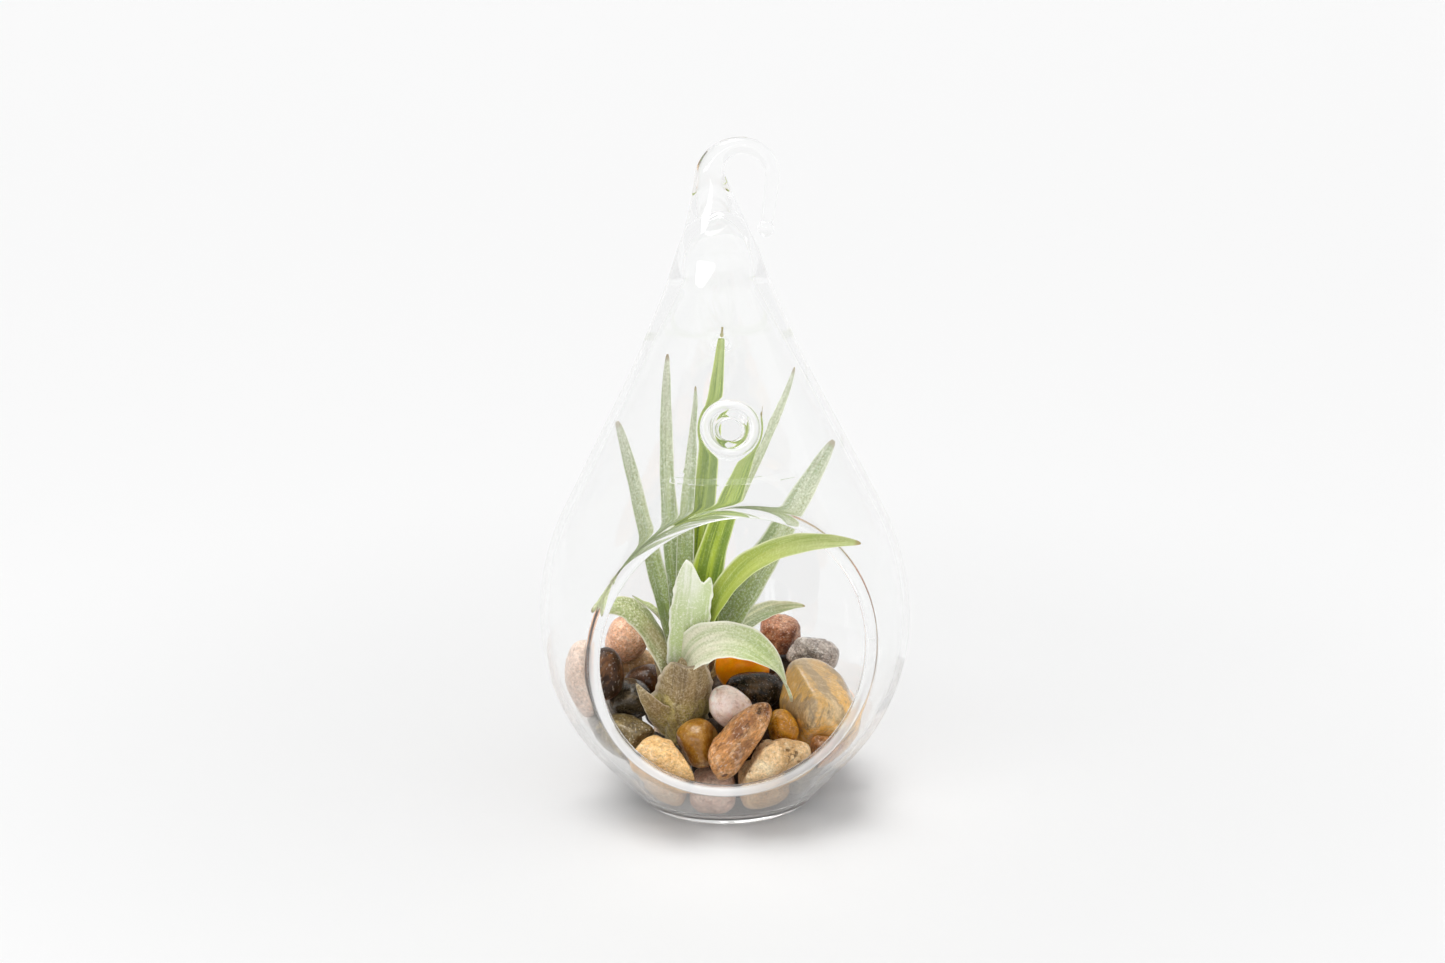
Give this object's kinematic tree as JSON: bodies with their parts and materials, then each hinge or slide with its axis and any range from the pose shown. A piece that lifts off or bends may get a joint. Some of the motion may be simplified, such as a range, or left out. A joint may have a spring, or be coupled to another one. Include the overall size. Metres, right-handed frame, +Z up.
{
  "type": "teardrop terrarium",
  "caption": "Clear hand-blown teardrop globe with a side mouth, round vents and a drawn hanging hook, bedded with river pebbles that hold a spiky silvery air plant.",
  "frame": {"origin": "centre of the flat underside of the base", "axes": "+Z up the teardrop to the hook, -Y out of the side mouth, +X the way the hook bends"},
  "size_m": [0.1, 0.0992, 0.1838],
  "materials": {
    "glass": "clear blown glass, fire-polished",
    "leaf": "living leaves with silvery scales",
    "stone_rose": "tumbled, softly polished pebble",
    "stone_quartz": "tumbled, softly polished pebble",
    "stone_tan": "dry, slightly pitted sandstone",
    "stone_ochre": "tumbled, softly polished pebble",
    "stone_orange": "tumbled, softly polished pebble",
    "stone_brown": "tumbled, softly polished pebble",
    "stone_red": "tumbled, softly polished pebble",
    "stone_dark": "tumbled, softly polished pebble",
    "stone_grey": "tumbled, softly polished pebble",
    "stone_mixed": "tumbled pebbles of mixed browns"
  },
  "bodies": {
    "root": {"glass_globe": "glass", "air_plant": "leaf", "pebble_pink_grey": "stone_rose", "pebble_dark_brown": "stone_dark", "pebble_red_brown": "stone_red", "pebble_tan_small": "stone_tan", "pebble_grey_brown": "stone_brown", "pebble_dark_grey": "stone_dark", "pebble_dark_olive": "stone_dark", "pebble_tan_front": "stone_tan", "pebble_olive": "stone_ochre", "pebble_quartz": "stone_quartz", "pebble_brown_long": "stone_brown", "pebble_tan_ridged": "stone_tan", "pebble_ochre": "stone_ochre", "pebble_amber_small": "stone_ochre", "pebble_rust": "stone_brown", "pebble_black": "stone_dark", "pebble_orange": "stone_orange", "pebble_maroon": "stone_red", "pebble_slate": "stone_dark", "pebble_beige_low": "stone_tan", "pebble_purple_low": "stone_grey", "pebble_tan_low": "stone_tan", "pebble_grey_low": "stone_grey", "pebble_floor_middle": "stone_mixed", "pebble_floor_left": "stone_mixed", "pebble_floor_right": "stone_mixed", "pebble_floor_back_left": "stone_mixed", "pebble_floor_back_right": "stone_mixed", "pebble_mid_left": "stone_mixed", "pebble_mid_left_back": "stone_mixed", "pebble_back_left": "stone_mixed", "pebble_back": "stone_mixed", "pebble_back_right": "stone_mixed", "pebble_right_back": "stone_mixed", "pebble_right": "stone_mixed", "pebble_right_front": "stone_mixed", "pebble_mid_front": "stone_mixed", "pebble_under_quartz": "stone_mixed", "pebble_mid_middle": "stone_mixed", "pebble_under_orange": "stone_mixed", "pebble_mid_right": "stone_mixed", "pebble_under_maroon": "stone_mixed", "pebble_behind_plant": "stone_mixed"}
  },
  "joints": []
}
